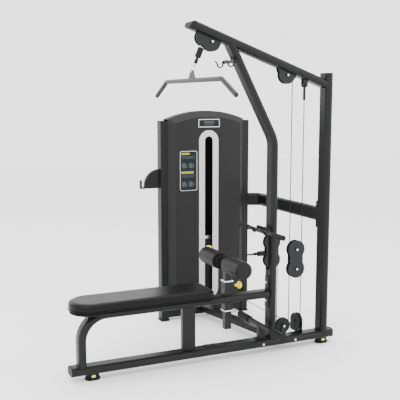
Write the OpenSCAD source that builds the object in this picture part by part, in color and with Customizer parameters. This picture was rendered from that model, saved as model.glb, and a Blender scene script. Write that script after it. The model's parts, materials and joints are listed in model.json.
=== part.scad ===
// Lat pulldown and seated row machine with a guarded weight stack.
// Millimetres, +Z up. X runs along the bench towards the rear upright and
// Y runs from the bench frame to the weight tower.

/* [Frame] */
// Length of the base rail with its end caps
rail_len = 1880; // [1870:5:1930]
// Width of the base rail
rail_w = 110; // [108:1:116]
// Height of the base rail
rail_h = 54; // [52:1:56]
// Height of the rail's underside above the floor
rail_lift = 40; // [36:1:44]
// Position of the main upright along the rail
upright_x = 1394; // [1390:1:1398]
// Height where the main upright starts to lean forward
upright_bend_z = 1382; // [1362:5:1392]
// Lean of the upper part of the main upright, in degrees
lean = 27.8; // [26:0.1:29]
// Position of the rear upright along the rail
rear_x = 1804; // [1800:1:1808]
// Height of the rear upright
rear_top = 1868; // [1860:1:1880]
// Slope of the boom, in degrees
boom_angle = 19.8; // [19:0.1:20.5]
// Centre height of the crossbar
crossbar_z = 906; // [890:2:950]

/* [Bench] */
// Height of the seat top
seat_top = 500; // [494:1:512]
// Thickness of the seat pad
pad_t = 62; // [54:1:64]
// Width of the seat pad
pad_w = 284; // [276:4:320]
// Length of the seat pad
pad_len = 930; // [900:5:945]
// Position of the knee post along the rail
knee_x = 1065; // [1060:1:1070]
// Height of the knee roller axle
roller_z = 642; // [637:1:670]
// Diameter of the foam rollers
roller_d = 114; // [100:1:120]

/* [Cable system] */
// Radius from a wheel's axle to the middle of its cable
pitch_r = 47; // [46:1:48]
// Outer radius of a wheel
wheel_r = 54; // [53:1:56]
// Diameter of the steel cable
cable_d = 6; // [5:0.5:6]
// Height of the floating block's lower axle
block_low_z = 550; // [542:1:592]
// Distance between the two axles of the floating block
block_gap = 134; // [130:1:140]

/* [Weight tower] */
// Width of the tower over its posts
tower_w = 743; // [735:1:750]
// Height of the tower's crown
tower_top = 1609; // [1600:1:1640]
// Number of weight plates
plate_count = 18; // [16:1:18]
// Number of plates above and including the pinned one
lifted_count = 3; // [2:1:6]

/* [Bars] */
// Length of the straight middle of the lat bar
lat_mid = 810; // [780:5:840]
// Diameter of the lat bar
lat_d = 28; // [25:1:30]
// Length of the row bar
row_len = 580; // [540:5:600]

/* [Hidden] */
$fn = 48;

steel = "#3f4041";
dark = "#222323";
silver = "#c9cbcc";
rubber = "#2b2b2c";
yellow = "#e6e04a";

// The origin is under the middle of the machine's own box.
lat_tip_y = 595;
tower_back = 1027;
rail_front = 8;
pad_front = 2;
origin_x = (pad_front + rail_front + rail_len) / 2;
origin_y = (tower_back - lat_tip_y - lat_d / 2 * cos(62)) / 2;
module place() translate([-origin_x, -origin_y, 0]) children();

wall = 3;
rail_top = rail_lift + rail_h;
rail_mid = rail_lift + rail_h / 2;

// Tube sections, long side first. Each is a little narrower than the one it
// stands on, so the coped ends close on a true curve.
rear_tube = [106, 57];
boom_tube = [102, 54];
bench_tube_size = [98, 50];
upright_tube = [98, 50];
cross_tube = [100, 48];

bench_z = 402;
bench_bend_r = 158;
leg_x = 80;
bench_end = upright_x - upright_tube[1] / 2 - 8;

boom_start = [830, 2138];
boom_cut = (rear_x - boom_start[0]) / cos(boom_angle);
lat_s = 139;
fall_x = upright_x + 143;
block_x = fall_x + pitch_r;
far_fall_x = fall_x + 2 * pitch_r;
rear_wheel_s = (fall_x - pitch_r - boom_start[0] + pitch_r * sin(boom_angle)) / cos(boom_angle);
function boom_pt(s, down) = [boom_start[0] + s * cos(boom_angle) - down * sin(boom_angle),
    boom_start[1] - s * sin(boom_angle) - down * cos(boom_angle)];
lat_axle = boom_pt(lat_s, pitch_r);
rear_axle = boom_pt(rear_wheel_s, pitch_r);

block_high_z = block_low_z + block_gap;
guide_x = upright_x + 2;
guide_low_z = 630;
guide_high_z = guide_low_z + 120;
base_front_x = guide_x + 2 * pitch_r;
base_front_z = 162;
base_rear_z = 167;
run_z = base_rear_z - pitch_r;

plate_t = 5;
plate_gap = 26;
hub_w = 25.4;
wheel_w = 22;
bolt_r = 6;

tower_x = 1333.5;
tower_y = 940;
post_w = 60;
post_d = 80;
post_in = tower_w / 2 - post_w;
// Cross members run this far into the posts' walls.
span = 2 * (post_in + 1);
sill_low = 22;
sill_h = 60;
sill_w = 66;
sill_top = sill_low + sill_h;
post_front = tower_y - post_d / 2;
shroud_bottom = 142;
bevel = 46;
arch_r = 854;
slot_half = 33;
slot_low = 202;
slot_high = 1417;
tower_base_y = tower_y - pitch_r;
drop_z = 1492;
side_x = far_fall_x - pitch_r;
stack_low = 152;
stack_pitch = 26;
lifted_z = stack_low + stack_pitch * (plate_count - lifted_count);
stack_high = stack_low + stack_pitch * plate_count;
pin_z = lifted_z + stack_pitch / 2;

lat_lean = 22.5;
lat_z = 1808;
lat_drop = 27;
row_x = 1310;
row_z = 831;
row_pull_z = guide_low_z + pitch_r;
foot_x = 1320;
foot_z = 182;
roller_x = knee_x - 22;
roller_end = 280;
row_reach = 1262;
pin_axis_z = 481;

// ---- shared shapes ----------------------------------------------------

// Flat section with round ends, long side along the first axis.
module racetrack(w, h) {
    square([w - h, h], center = true);
    for (s = [-1, 1]) translate([s * (w - h) / 2, 0]) circle(d = h);
}

// Tube section. A skin above zero thins the wall on both sides, for the bends
// that sit between two straight tubes.
module hollow(size, skin = 0) {
    inner = wall - skin;
    difference() {
        racetrack(size[0] - 2 * skin, size[1] - 2 * skin);
        racetrack(size[0] - 2 * inner, size[1] - 2 * inner);
    }
}

module rounded(w, h, r) {
    square([w - 2 * r, h], center = true);
    square([w, h - 2 * r], center = true);
    for (x = [-1, 1], y = [-1, 1]) translate([x * (w / 2 - r), y * (h / 2 - r)]) circle(r = r);
}

// Sweeps a section along X, with its first axis along Y.
module along_x(len) rotate([90, 0, 90]) linear_extrude(len) children();

// Sweeps an XZ outline along Y, from y0 to y1.
module along_y(y0, y1) translate([0, y1, 0]) rotate([90, 0, 0]) linear_extrude(y1 - y0) children();

module rod_y(x, z, r, y0, y1) translate([x, y1, z]) rotate([90, 0, 0]) cylinder(h = y1 - y0, r = r);

module rod_x(y, z, r, x0, x1) translate([x0, y, z]) rotate([0, 90, 0]) cylinder(h = x1 - x0, r = r);

module rod_z(x, y, r, z0, z1) translate([x, y, z0]) cylinder(h = z1 - z0, r = r);

// Plate outline around two axles, waisted between its lobes.
module figure_eight(gap, r, waist) {
    for (s = [0, gap]) translate([0, s]) circle(r = r);
    translate([-waist, 0]) square([2 * waist, gap]);
}

// Wheel about the Y axis through the origin, with a V groove and a bored hub.
module wheel() {
    half = wheel_w / 2;
    floor_r = pitch_r - cable_d / 2 - 0.2;
    rotate([90, 0, 0]) rotate_extrude() polygon([
        [bolt_r + 0.06, -hub_w / 2],
        [14, -hub_w / 2],
        [14, -half],
        [wheel_r, -half],
        [wheel_r, 3 - half],
        [floor_r, -2.4],
        [floor_r, 2.4],
        [wheel_r, half - 3],
        [wheel_r, half],
        [14, half],
        [14, hub_w / 2],
        [bolt_r + 0.06, hub_w / 2]]);
}

// Axle bolt along Y through a pair of pulley plates, centred on the wheel.
module axle_bolt() {
    out = plate_gap / 2 + plate_t;
    rotate([90, 0, 0]) translate([0, 0, -out - 8]) cylinder(h = 2 * out + 16, r = bolt_r);
    for (s = [-1, 1]) rotate([90, 0, 0]) translate([0, 0, s * (out + 4) - 4]) difference() {
        cylinder(h = 8, r = 11, $fn = 6);
        translate([0, 0, -1]) cylinder(h = 10, r = bolt_r);
    }
}

// The pair of plate slots on both sides of a wheel at y = 0.
module plate_pair() {
    in = plate_gap / 2;
    along_y(in, in + plate_t) children();
    along_y(-in - plate_t, -in) children();
}

// Quarter turn of cable in the XZ plane about an axle, from angle a0 over a
// turn of sweep degrees. Angles run from +X towards +Z.
module cable_turn(x, z, a0, sweep, y = 0, d = cable_d) {
    translate([x, y, z]) rotate([90, 0, 0]) rotate([0, 0, a0])
        rotate_extrude(angle = sweep) translate([pitch_r, 0]) circle(d = d, $fn = 16);
}

module cable_z(x, z0, z1, y = 0) translate([x, y, z0]) cylinder(h = z1 - z0, d = cable_d, $fn = 16);

module in_boom() translate([boom_start[0], 0, boom_start[1]]) rotate([0, boom_angle, 0]) children();

module rail_solid() translate([rail_front - 50, 0, rail_mid]) along_x(rail_len + 100) racetrack(rail_w, rail_h);

// ---- frame --------------------------------------------------------------

module base_rail() color(steel) place() difference() {
    translate([rail_front + 14, 0, rail_mid]) along_x(rail_len - 34) hollow([rail_w, rail_h]);
    for (x = rail_bolts) rod_y(x, rail_mid, 5.1, -rail_w, 0);
}

rail_bolts = [foot_x - 8, 1560];

// One tube: up from the rail, round the bend and back along the bench.
module bench_tube() color(steel) place() difference() {
    union() {
        translate([leg_x, 0, rail_mid]) linear_extrude(bench_z - bench_bend_r - rail_mid)
            rotate([0, 0, 90]) hollow(bench_tube_size);
        translate([leg_x + bench_bend_r, 0, bench_z - bench_bend_r]) rotate([90, 0, 0])
            rotate([0, 0, 90]) rotate_extrude(angle = 90)
                translate([bench_bend_r, 0]) rotate([0, 0, 90]) hollow(bench_tube_size);
        translate([leg_x + bench_bend_r, 0, bench_z])
            along_x(bench_end - leg_x - bench_bend_r) hollow(bench_tube_size);
    }
    rail_solid();
    translate([knee_x - 29, -29, 300]) cube([58, 58, 200]);
}

module seat_post() color(steel) place() translate([786, 0, rail_top])
    linear_extrude(bench_z - bench_tube_size[1] / 2 - rail_top) difference() {
        rounded(88, 42, 6);
        rounded(88 - 2 * wall, 42 - 2 * wall, 3);
    }

upright_bend_r = 190;
lap = 2;
bend_skin = 0.3;
bend_x = upright_x - upright_bend_r;

// The main upright's two straight runs and the bend between them.
module upright_path(solid = false) {
    translate([upright_x, 0, rail_mid]) linear_extrude(upright_bend_z + lap - rail_mid)
        rotate([0, 0, 90]) upright_section(solid);
    translate([bend_x, 0, upright_bend_z]) rotate([90, 0, 0]) rotate_extrude(angle = lean)
        translate([upright_bend_r, 0]) rotate([0, 0, 90]) upright_section(solid, bend_skin);
    translate([bend_x, 0, upright_bend_z]) rotate([0, -lean, 0]) translate([upright_bend_r, 0, -lap])
        linear_extrude(660) rotate([0, 0, 90]) upright_section(solid);
}

module upright_section(solid, skin = 0) {
    if (solid) racetrack(upright_tube[0] - 2 * skin, upright_tube[1] - 2 * skin);
    else hollow(upright_tube, skin);
}

// The slot in the main upright that the guide block passes through.
module guide_slot(grow = 0) translate([upright_x - 60, -18 - grow, guide_low_z - 66 - grow])
    cube([120, 36 + 2 * grow, guide_high_z - guide_low_z + 132 + 2 * grow]);

module main_upright() color(steel) place() difference() {
    upright_path();
    rail_solid();
    in_boom() translate([-300, 0, 0]) along_x(900) racetrack(boom_tube[0], boom_tube[1]);
    in_boom() translate([-300, -100, 0]) cube([900, 200, 400]);
    guide_slot(0.5);
}

module boom() color(steel) place() difference() {
    in_boom() along_x(boom_cut) hollow(boom_tube);
    translate([rear_x, 0, 1500]) linear_extrude(600) rotate([0, 0, 90]) racetrack(rear_tube[0], rear_tube[1]);
    in_boom() wheel_slot(lat_s);
    in_boom() wheel_slot(rear_wheel_s);
}

module wheel_slot(s) translate([s - 62, -14, -40]) cube([124, 28, 30]);

module rear_upright() color(steel) place() difference() {
    translate([rear_x, 0, rail_mid]) linear_extrude(rear_top - 5 - rail_mid)
        rotate([0, 0, 90]) hollow(rear_tube);
    rail_solid();
}

cross_turn = 65.4;
cross_r = 60;
cross_y = 58;
cross_bend_y = 856;

module crossbar() color(steel) place() difference() {
    translate([rear_x, 0, crossbar_z]) union() {
        translate([0, cross_bend_y + lap, 0]) rotate([90, 0, 0])
            linear_extrude(cross_bend_y + lap - cross_y) rotate([0, 0, 90]) hollow(cross_tube);
        translate([-cross_r, cross_bend_y, 0]) {
            rotate_extrude(angle = cross_turn) translate([cross_r, 0])
                rotate([0, 0, 90]) hollow(cross_tube, bend_skin);
            rotate([0, 0, cross_turn]) translate([cross_r, -lap, 0]) rotate([-90, 0, 0])
                linear_extrude(140) rotate([0, 0, 90]) hollow(cross_tube);
        }
    }
    translate([tower_x - 200, post_front - 100, crossbar_z - 100])
        cube([tower_w / 2 + 200, 300, 200]);
}

beam_skew = 10.5;
beam_x = 1486;
beam_w = 70;
beam_h = 44;

module floor_beam() color(steel) place() difference() {
    translate([beam_x, 0, rail_mid]) rotate([0, 0, beam_skew]) translate([0, 8, 0]) rotate([-90, 0, 0])
        linear_extrude(980) difference() {
            rounded(beam_w, beam_h, 5);
            rounded(beam_w - 2 * wall, beam_h - 2 * wall, 3);
        }
    rail_solid();
    translate([tower_x - 300, post_front, 0]) cube([600, 300, 200]);
}

// Flange plates and saddles welded at the tube joints.
module joint_plates() color(steel) place() {
    translate([bench_end, 0, bench_z + 12]) difference() {
        along_x(8) rounded(44, 220, 8);
        for (z = flange_bolt_dz) rod_x(0, z - 12, 5.1, -1, 9);
    }
    difference() {
        translate([rear_x - 24, 44, crossbar_z - 92]) cube([48, cross_y - 44, 184]);
        translate([rear_x, 0, crossbar_z - 100]) linear_extrude(200)
            rotate([0, 0, 90]) racetrack(rear_tube[0], rear_tube[1]);
        for (s = [-1, 1]) rod_y(rear_x, crossbar_z + s * 76, 5.1, 40, cross_y + 1);
    }
    for (x = [925, 975]) translate([x, 0, rail_top]) linear_extrude(5) rounded(40, 52, 5);
    difference() {
        translate([120, -24, bench_z - 45]) cube([8, 48, 45 + bench_tube_size[1] / 2]);
        translate([leg_x + bench_bend_r, 50, bench_z - bench_bend_r]) rotate([90, 0, 0])
            cylinder(h = 100, r = bench_bend_r + bench_tube_size[1] / 2);
        rod_x(0, bench_z + 10, 5.1, 110, 130);
    }
}

flange_bolt_dz = [74, -50];

module tube_caps() color(dark) place() {
    front_cap();
    rear_cap();
    boom_cap();
    translate([rear_x, 0, rear_top - 5]) linear_extrude(5) rotate([0, 0, 90]) racetrack(rear_tube[0], rear_tube[1]);
    for (s = [-1, 1]) translate([tower_x + s * (tower_w - post_w) / 2, tower_y, post_top])
        linear_extrude(4) rounded(post_w, post_d, 8);
}

post_top = 1531;

module front_cap() {
    translate([rail_front, 0, rail_mid]) along_x(14) racetrack(rail_w, rail_h);
}

module rear_cap() {
    rail_end = rail_front + rail_len;
    difference() {
        translate([rail_end - 20, 0, rail_mid]) along_x(20) racetrack(rail_w, rail_h);
        difference() {
            translate([rail_end - 40, -100, rail_lift - 5]) cube([80, 200, rail_h + 10]);
            translate([rail_end - 95, 0, rail_lift - 10]) cylinder(h = rail_h + 20, r = 95);
        }
    }
}

module boom_cap() in_boom() difference() {
    translate([-40, 0, 0]) along_x(40) racetrack(boom_tube[0], boom_tube[1]);
    difference() {
        translate([-100, -100, -100]) cube([100, 200, 200]);
        translate([6, 0, -22]) rotate([90, 0, 0]) translate([0, 0, -100]) cylinder(h = 200, r = 52);
    }
}

// ---- feet and bolts -------------------------------------------------------

rail_feet = [147, 1806];

module foot_pads() color(dark) place() {
    for (x = rail_feet) translate([x, 0, 0]) {
        linear_extrude(12) racetrack(96, 72);
        translate([0, 0, 12]) linear_extrude(rail_lift - 12) racetrack(82, 54);
    }
    for (s = [-1, 1]) translate([tower_x + s * (tower_w - post_w) / 2, tower_y, 0]) {
        linear_extrude(10) rounded(70, 90, 12);
        translate([0, 0, 10]) linear_extrude(15) rounded(58, 78, 8);
    }
}

module foot_inserts() color("#e6ec8a") place() for (x = rail_feet)
    translate([x, -27, 16]) rotate([90, 0, 0]) translate([0, 9, 0]) linear_extrude(3) rounded(24, 14, 4);

// Hexagon head with its shank, head on the +Z side of z = 0.
module hex_bolt(shank, r = 5, head = 8.5) {
    cylinder(h = 6, r = head, $fn = 6);
    translate([0, 0, -shank]) cylinder(h = shank, r = r);
}

module frame_bolts() color(silver) place() {
    for (z = flange_bolt_dz) translate([bench_end, 0, bench_z + z]) rotate([0, -90, 0]) hex_bolt(8);
    for (x = rail_bolts) translate([x, -rail_w / 2, rail_mid]) rotate([90, 0, 0]) hex_bolt(wall);
    for (s = [-1, 1]) translate([rear_x, cross_y, crossbar_z + s * 76]) rotate([-90, 0, 0]) hex_bolt(5);
    translate([120, 0, bench_z + 10]) rotate([0, -90, 0]) hex_bolt(8);
}

// ---- bench ------------------------------------------------------------------

// Bench outline: a half round front and two rounded rear corners.
module seat_outline(inset) {
    half = pad_w / 2 - inset;
    corner = 55 - inset;
    round_x = pad_front + pad_w / 2;
    back_x = pad_front + pad_len - inset;
    translate([round_x, 0]) circle(r = half);
    translate([round_x, -half]) square([back_x - corner - round_x, 2 * half]);
    translate([round_x, corner - half]) square([back_x - round_x, 2 * (half - corner)]);
    for (s = [-1, 1]) translate([back_x - corner, s * (half - corner)]) circle(r = corner);
}

pad_low = seat_top - pad_t;

module seat_board() color(dark) place() translate([0, 0, bench_z + bench_tube_size[1] / 2])
    linear_extrude(pad_low - 0.3 - bench_z - bench_tube_size[1] / 2) seat_outline(14);

module seat_pad() color("#333334") place() translate([0, 0, pad_low]) linear_extrude(pad_t) seat_outline(0);

module post_sleeve() color(steel) place() {
    difference() {
        translate([knee_x, 0, 326]) linear_extrude(190) difference() {
            rounded(58, 58, 3);
            square([48, 48], center = true);
        }
        rod_x(0, pin_axis_z, 6.05, knee_x - 40, knee_x + 40);
    }
    difference() {
        rod_x(0, pin_axis_z, 13, knee_x + 29, knee_x + 52);
        rod_x(0, pin_axis_z, 6.05, knee_x + 28, knee_x + 53);
    }
}

module sleeve_bushings() color("#e9e9e6") place() for (z = [320, 516])
    translate([knee_x, 0, z]) linear_extrude(6) difference() {
        rounded(64, 64, 4);
        square([44.8, 44.8], center = true);
    }

// Sprung pin that locks the knee post, with its mushroom knob.
module pull_pin() color(yellow) place() {
    rod_x(0, pin_axis_z, 6, knee_x + 23, knee_x + 60);
    rod_x(0, pin_axis_z, 9, knee_x + 53, knee_x + 84);
    rod_x(0, pin_axis_z, 24, knee_x + 84, knee_x + 94);
    translate([knee_x + 94, 0, pin_axis_z]) rotate([0, 90, 0]) cylinder(h = 8, r1 = 24, r2 = 15);
}

post_low = 197;
post_holes = [0, 40, 80];

module knee_post() color(steel) place() {
    difference() {
        translate([knee_x, 0, post_low]) linear_extrude(roller_z + 15 - post_low) difference() {
            rounded(44, 44, 3);
            rounded(38, 38, 2);
        }
        for (z = post_holes) rod_x(0, pin_axis_z + z, 6.4, knee_x, knee_x + 30);
        rod_y(roller_x, roller_z, 15, -100, 100);
    }
    difference() {
        rod_y(roller_x, roller_z, 15, -roller_end, roller_end);
        rod_y(roller_x, roller_z, 12, -roller_end - 1, roller_end + 1);
    }
}

module roller_caps() color(dark) place() for (s = [-1, 1]) {
    difference() {
        rod_y(roller_x, roller_z, 40, s > 0 ? 50 : -58, s > 0 ? 58 : -50);
        rod_y(roller_x, roller_z, 15, -100, 100);
    }
    translate([roller_x, s * roller_end, roller_z]) rotate([s * -90, 0, 0]) {
        cylinder(h = 5, r = 50);
        translate([0, 0, 5]) cylinder(h = 6, r1 = 50, r2 = 38);
    }
}

module foam_roller(side) color("#3a3a3b") place() difference() {
    rod_y(roller_x, roller_z, roller_d / 2, side > 0 ? 58.5 : 0.5 - roller_end, side > 0 ? roller_end - 0.5 : -58.5);
    rod_y(roller_x, roller_z, 15.1, -300, 300);
}

module foam_roller_near() foam_roller(-1);
module foam_roller_far() foam_roller(1);

module foot_bar() color(steel) place() {
    difference() {
        rod_y(foot_x, foot_z, 19, -290, 290);
        rod_y(foot_x, foot_z, 16, -291, 291);
    }
    difference() {
        translate([foot_x, 0, rail_top]) linear_extrude(foot_z - rail_top) rounded(44, 44, 5);
        rod_y(foot_x, foot_z, 19, -50, 50);
    }
    translate([foot_x, 0, rail_top]) difference() {
        linear_extrude(6) rounded(84, 54, 5);
        linear_extrude(6) rounded(44, 44, 5);
    }
}

module foot_bar_sleeves() color(rubber) place() for (s = [-1, 1]) {
    difference() {
        rod_y(foot_x, foot_z, 25, s > 0 ? 150 : -296, s > 0 ? 296 : -150);
        rod_y(foot_x, foot_z, 19, -290, 290);
    }
}

// ---- pulleys and their plates ---------------------------------------------

module lat_plate() difference() {
    union() {
        circle(r = 61);
        translate([-58, 22]) circle(r = 50);
        polygon([[-10, 60], [-84, 60], [-88, -14], [-42, -26], [0, -30]]);
        translate([-70, 10]) square([140, 80]);
    }
    circle(r = bolt_r);
}

module trapezoid_plate() difference() {
    union() {
        circle(r = 58);
        polygon([[-72, 60], [-64, 22], [-40, -20], [40, -30], [64, -18], [68, 60]]);
    }
    circle(r = bolt_r);
}

module above_boom_floor() in_boom() translate([-200, -200, -boom_tube[1] / 2]) cube([1400, 400, 400]);

module boom_pulley_plates() color(dark) place() {
    difference() {
        translate([lat_axle[0], 0, lat_axle[1]]) plate_pair() lat_plate();
        above_boom_floor();
    }
    difference() {
        translate([rear_axle[0], 0, rear_axle[1]]) plate_pair() trapezoid_plate();
        above_boom_floor();
    }
    for (a = [lat_axle, rear_axle]) translate([a[0], 0, a[1]]) axle_bolt();
    difference() {
        translate([far_fall_x, 0, anchor_z]) {
            plate_pair() difference() {
                union() {
                    circle(r = 16);
                    translate([-16, 0]) square([32, 90]);
                }
                circle(r = bolt_r);
            }
            axle_bolt();
        }
        above_boom_floor();
    }
    difference() {
        rod_z(far_fall_x, 0, 9, anchor_z - 100, anchor_z - 10);
        rod_z(far_fall_x, 0, cable_d / 2, anchor_z - 101, anchor_z - 60);
    }
    difference() {
        rod_y(far_fall_x, anchor_z, 12, -13, 13);
        rod_y(far_fall_x, anchor_z, bolt_r, -14, 14);
        rod_z(far_fall_x, 0, 9, anchor_z - 100, anchor_z - 10);
    }
}

anchor_z = 1788;

module wheel_at(x, z, y = 0) color(dark) place() translate([x, y, z]) wheel();
module boom_front_pulley() wheel_at(lat_axle[0], lat_axle[1]);
module boom_rear_pulley() wheel_at(rear_axle[0], rear_axle[1]);
module block_upper_pulley() wheel_at(block_x, block_high_z);
module block_lower_pulley() wheel_at(block_x, block_low_z);
module guide_upper_pulley() wheel_at(guide_x, guide_high_z);
module guide_lower_pulley() wheel_at(guide_x, guide_low_z);
module base_front_pulley() wheel_at(base_front_x, base_front_z);
module tower_side_pulley() wheel_at(side_x, drop_z, tower_y);
module tower_drop_pulley() wheel_at(tower_x + pitch_r, drop_z, tower_y);
module base_rear_pulley() color(dark) place()
    translate([far_fall_x, pitch_r, base_rear_z]) rotate([0, 0, 90]) wheel();
module tower_base_pulley() color(dark) place()
    translate([far_fall_x, tower_base_y, base_rear_z]) rotate([0, 0, 90]) wheel();

module eight_plates(gap, waist) {
    plate_pair() difference() {
        figure_eight(gap, 63, waist);
        for (z = [0, gap]) translate([0, z]) circle(r = bolt_r);
    }
    for (z = [0, gap]) translate([0, 0, z]) axle_bolt();
}

module block_plates() color(dark) place() translate([block_x, 0, block_low_z])
    eight_plates(block_gap, 50);

module guide_block_plates() color(dark) place() {
    translate([guide_x, 0, guide_low_z]) plate_pair() difference() {
        figure_eight(guide_high_z - guide_low_z, 58, 46);
        for (z = [0, guide_high_z - guide_low_z]) translate([0, z]) circle(r = bolt_r);
    }
    for (z = [guide_low_z, guide_high_z]) rod_y(guide_x, z, bolt_r, -18, 18);
}

module base_brackets() color(dark) place() {
    translate([base_front_x, 0, base_front_z]) {
        plate_pair() difference() {
            union() {
                circle(r = 17);
                translate([-17, rail_top - base_front_z]) square([34, base_front_z - rail_top]);
            }
            circle(r = bolt_r);
        }
        axle_bolt();
    }
    translate([far_fall_x, pitch_r, base_rear_z]) rotate([0, 0, 90]) {
        plate_pair() difference() {
            union() {
                circle(r = 52);
                translate([-52, rail_top - base_rear_z]) square([104, base_rear_z - rail_top]);
            }
            circle(r = bolt_r);
        }
        axle_bolt();
    }
}

// ---- weight tower -----------------------------------------------------------

module tower_frame() color(steel) place() {
    for (s = [-1, 1]) translate([tower_x + s * (tower_w - post_w) / 2, tower_y, 25])
        linear_extrude(post_top - 25) difference() {
            rounded(post_w, post_d, 8);
            rounded(post_w - 2 * wall, post_d - 2 * wall, 5);
        }
    translate([tower_x - span / 2, tower_y, sill_low + sill_h / 2]) along_x(span) difference() {
        rounded(sill_w, sill_h, 4);
        rounded(sill_w - 2 * wall, sill_h - 2 * wall, 2);
    }
    difference() {
        translate([tower_x - span / 2, tower_y - 31, bridge_z]) cube([span, 62, 8]);
        for (s = [-1, 1]) rod_z(tower_x + s * rod_dx, tower_y, 11, bridge_z - 8, bridge_z + 16);
        for (x = [tower_x, far_fall_x]) rod_z(x, tower_y, 8, bridge_z - 8, bridge_z + 16);
    }
    difference() {
        translate([0, tower_y, 0]) plate_pair() translate([tower_x - span / 2, bridge_z + 7]) square([span, 93]);
        for (x = [side_x, tower_x + pitch_r]) rod_y(x, drop_z, bolt_r, tower_y - 30, tower_y + 30);
    }
    for (x = [side_x, tower_x + pitch_r]) translate([x, tower_y, drop_z]) axle_bolt();
    translate([far_fall_x - 18, tower_base_y - 18, sill_top])
        cube([5, 90, base_rear_z + 18 - sill_top]);
    rod_x(tower_base_y, base_rear_z, bolt_r, far_fall_x - 24, far_fall_x + 17);
}

rod_dx = 110;
bridge_z = 1420;

// Solid with bevelled sides and an arched crown, its face at y = 0.
module crown_form(grow) {
    half = post_in + 6 + grow;
    face = half - bevel;
    arch_z = tower_top - arch_r;
    intersection() {
        translate([0, 0, shroud_bottom]) linear_extrude(tower_top)
            polygon([[-face, 0], [face, 0], [half, bevel], [-half, bevel]]);
        union() {
            translate([0, 0, arch_z]) rotate([-90, 0, 0])
                cylinder(h = bevel, r1 = arch_r - bevel + grow, r2 = arch_r + grow);
            translate([-half, 0, 0]) cube([2 * half, bevel, arch_z]);
        }
    }
}

module shroud_shell() {
    difference() {
        crown_form(0);
        translate([0, 3, 0]) crown_form(-3.5);
    }
    difference() {
        intersection() {
            translate([-post_in - 6, bevel, post_top + 6]) cube([2 * post_in + 12, 39.5, 200]);
            translate([0, 0, tower_top - arch_r]) rotate([-90, 0, 0]) cylinder(h = 200, r = arch_r);
        }
        translate([0, 0, tower_top - arch_r]) rotate([-90, 0, 0]) cylinder(h = 300, r = arch_r - 4);
    }
}

shroud_face = post_front - bevel - 1;

module front_shroud() color("#464747") place() difference() {
    translate([tower_x, shroud_face, 0]) shroud_shell();
    translate([tower_x, 0, 0]) along_y(shroud_face - 5, shroud_face + 8) slot_shape(slot_half, slot_low, slot_high);
    translate([far_fall_x - 26, shroud_face - 10, 0]) cube([200, 100, 228]);
}

module rear_shroud() color("#3c3d3d") place() translate([tower_x, 2 * tower_y - shroud_face, 0])
    mirror([0, 1, 0]) shroud_shell();

module slot_shape(half, low, high) {
    translate([-half, low + half]) square([2 * half, high - low - 2 * half]);
    for (z = [low + half, high - half]) translate([0, z]) circle(r = half);
}

// Silver surround of the slot, the name plate and the user placard.
module shroud_trim() color("#cfcfcf") place() translate([tower_x, 0, 0]) {
    along_y(shroud_face - 3, shroud_face) difference() {
        slot_shape(81, slot_low - 48, slot_high + 46);
        slot_shape(slot_half, slot_low, slot_high);
    }
    along_y(shroud_face - 3, shroud_face) translate([2, 1516]) rounded(178, 62, 5);
    along_y(shroud_face - 3, shroud_face) translate([-168, 1160]) rounded(140, 300, 14);
}

module guide_rods() color(silver) place() for (s = [-1, 1])
    rod_z(tower_x + s * rod_dx, tower_y, 11, sill_top, bridge_z + 8);

module weight_plate(i) translate([tower_x, tower_y, stack_low + i * stack_pitch]) difference() {
    translate([-150, -55, 0]) cube([300, 110, stack_pitch - 0.4]);
    for (s = [-1, 1]) translate([s * rod_dx, 0, -1]) cylinder(h = 40, r = 12.5);
    translate([0, 0, -1]) cylinder(h = 40, r = 13);
    rod_y(0, stack_pitch / 2, 5, -60, 20);
}

module resting_plates() color(dark) place() {
    for (i = [0 : plate_count - lifted_count - 1]) weight_plate(i);
    for (s = [-1, 1]) translate([tower_x + s * rod_dx, tower_y, sill_top]) difference() {
        cylinder(h = stack_low - sill_top, r = 28);
        translate([0, 0, -1]) cylinder(h = 100, r = 11.5);
    }
}

module lifted_plates() color(dark) place()
    for (i = [plate_count - lifted_count : plate_count - 1]) weight_plate(i);

rod_low = stack_low + 10;

module selector_rod() color(silver) place() {
    difference() {
        rod_z(tower_x, tower_y, 12, rod_low, stack_high + 60);
        for (i = [1 : plate_count - 1])
            rod_y(tower_x, stack_low + (i + 0.5) * stack_pitch, 5, tower_y - 20, tower_y + 20);
    }
    difference() {
        translate([tower_x - 60, tower_y - 40, stack_high]) cube([120, 80, 24]);
        rod_z(tower_x, tower_y, 12, stack_high - 5, stack_high + 40);
    }
}

module selector_pin() color(yellow) place() {
    rod_y(tower_x, pin_z, 4.6, shroud_face + 6, tower_y + 14);
    rod_y(tower_x, pin_z, 22, shroud_face - 14, shroud_face + 6);
}

// ---- hooks -----------------------------------------------------------------

// Hook outline about the middle of the bar it holds: a half ring with a
// flared tip at the front and a riser at the back.
module hook_outline(r) {
    difference() {
        circle(r = r + hook_t);
        circle(r = r);
        translate([-60, 0]) square([120, 60]);
    }
    translate([-r - hook_t, 0]) rotate([0, 0, 38]) translate([0.6, -1]) square([hook_t - 1, 26]);
    translate([-r - hook_t, -2]) square([hook_t, 5]);
    translate([r, 0]) square([hook_t, 24]);
}

// A pair of hooks side by side on a cross plate that stands off the tube.
module hook_pair(at, r, face) {
    back = at[0] + r + hook_t;
    for (y = [-75, 75]) translate([at[0], 0, at[1]]) along_y(y - 5, y + 5) hook_outline(r);
    translate([back, -82, at[1] + 4]) cube([8, 164, 20]);
    translate([back + 8, -18, at[1] + 6]) cube([face - back - 8, 36, 16]);
}

hook_t = 7;
upper_hook = [1045, 1912];
lower_hook = [row_x, row_z + 1.2];

module bar_hooks() color(steel) place() {
    difference() {
        hook_pair(upper_hook, 15, upper_hook[0] + 100);
        upright_path(true);
    }
    hook_pair(lower_hook, 14.5, upright_x - upright_tube[1] / 2);
    side_holder();
}

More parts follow.
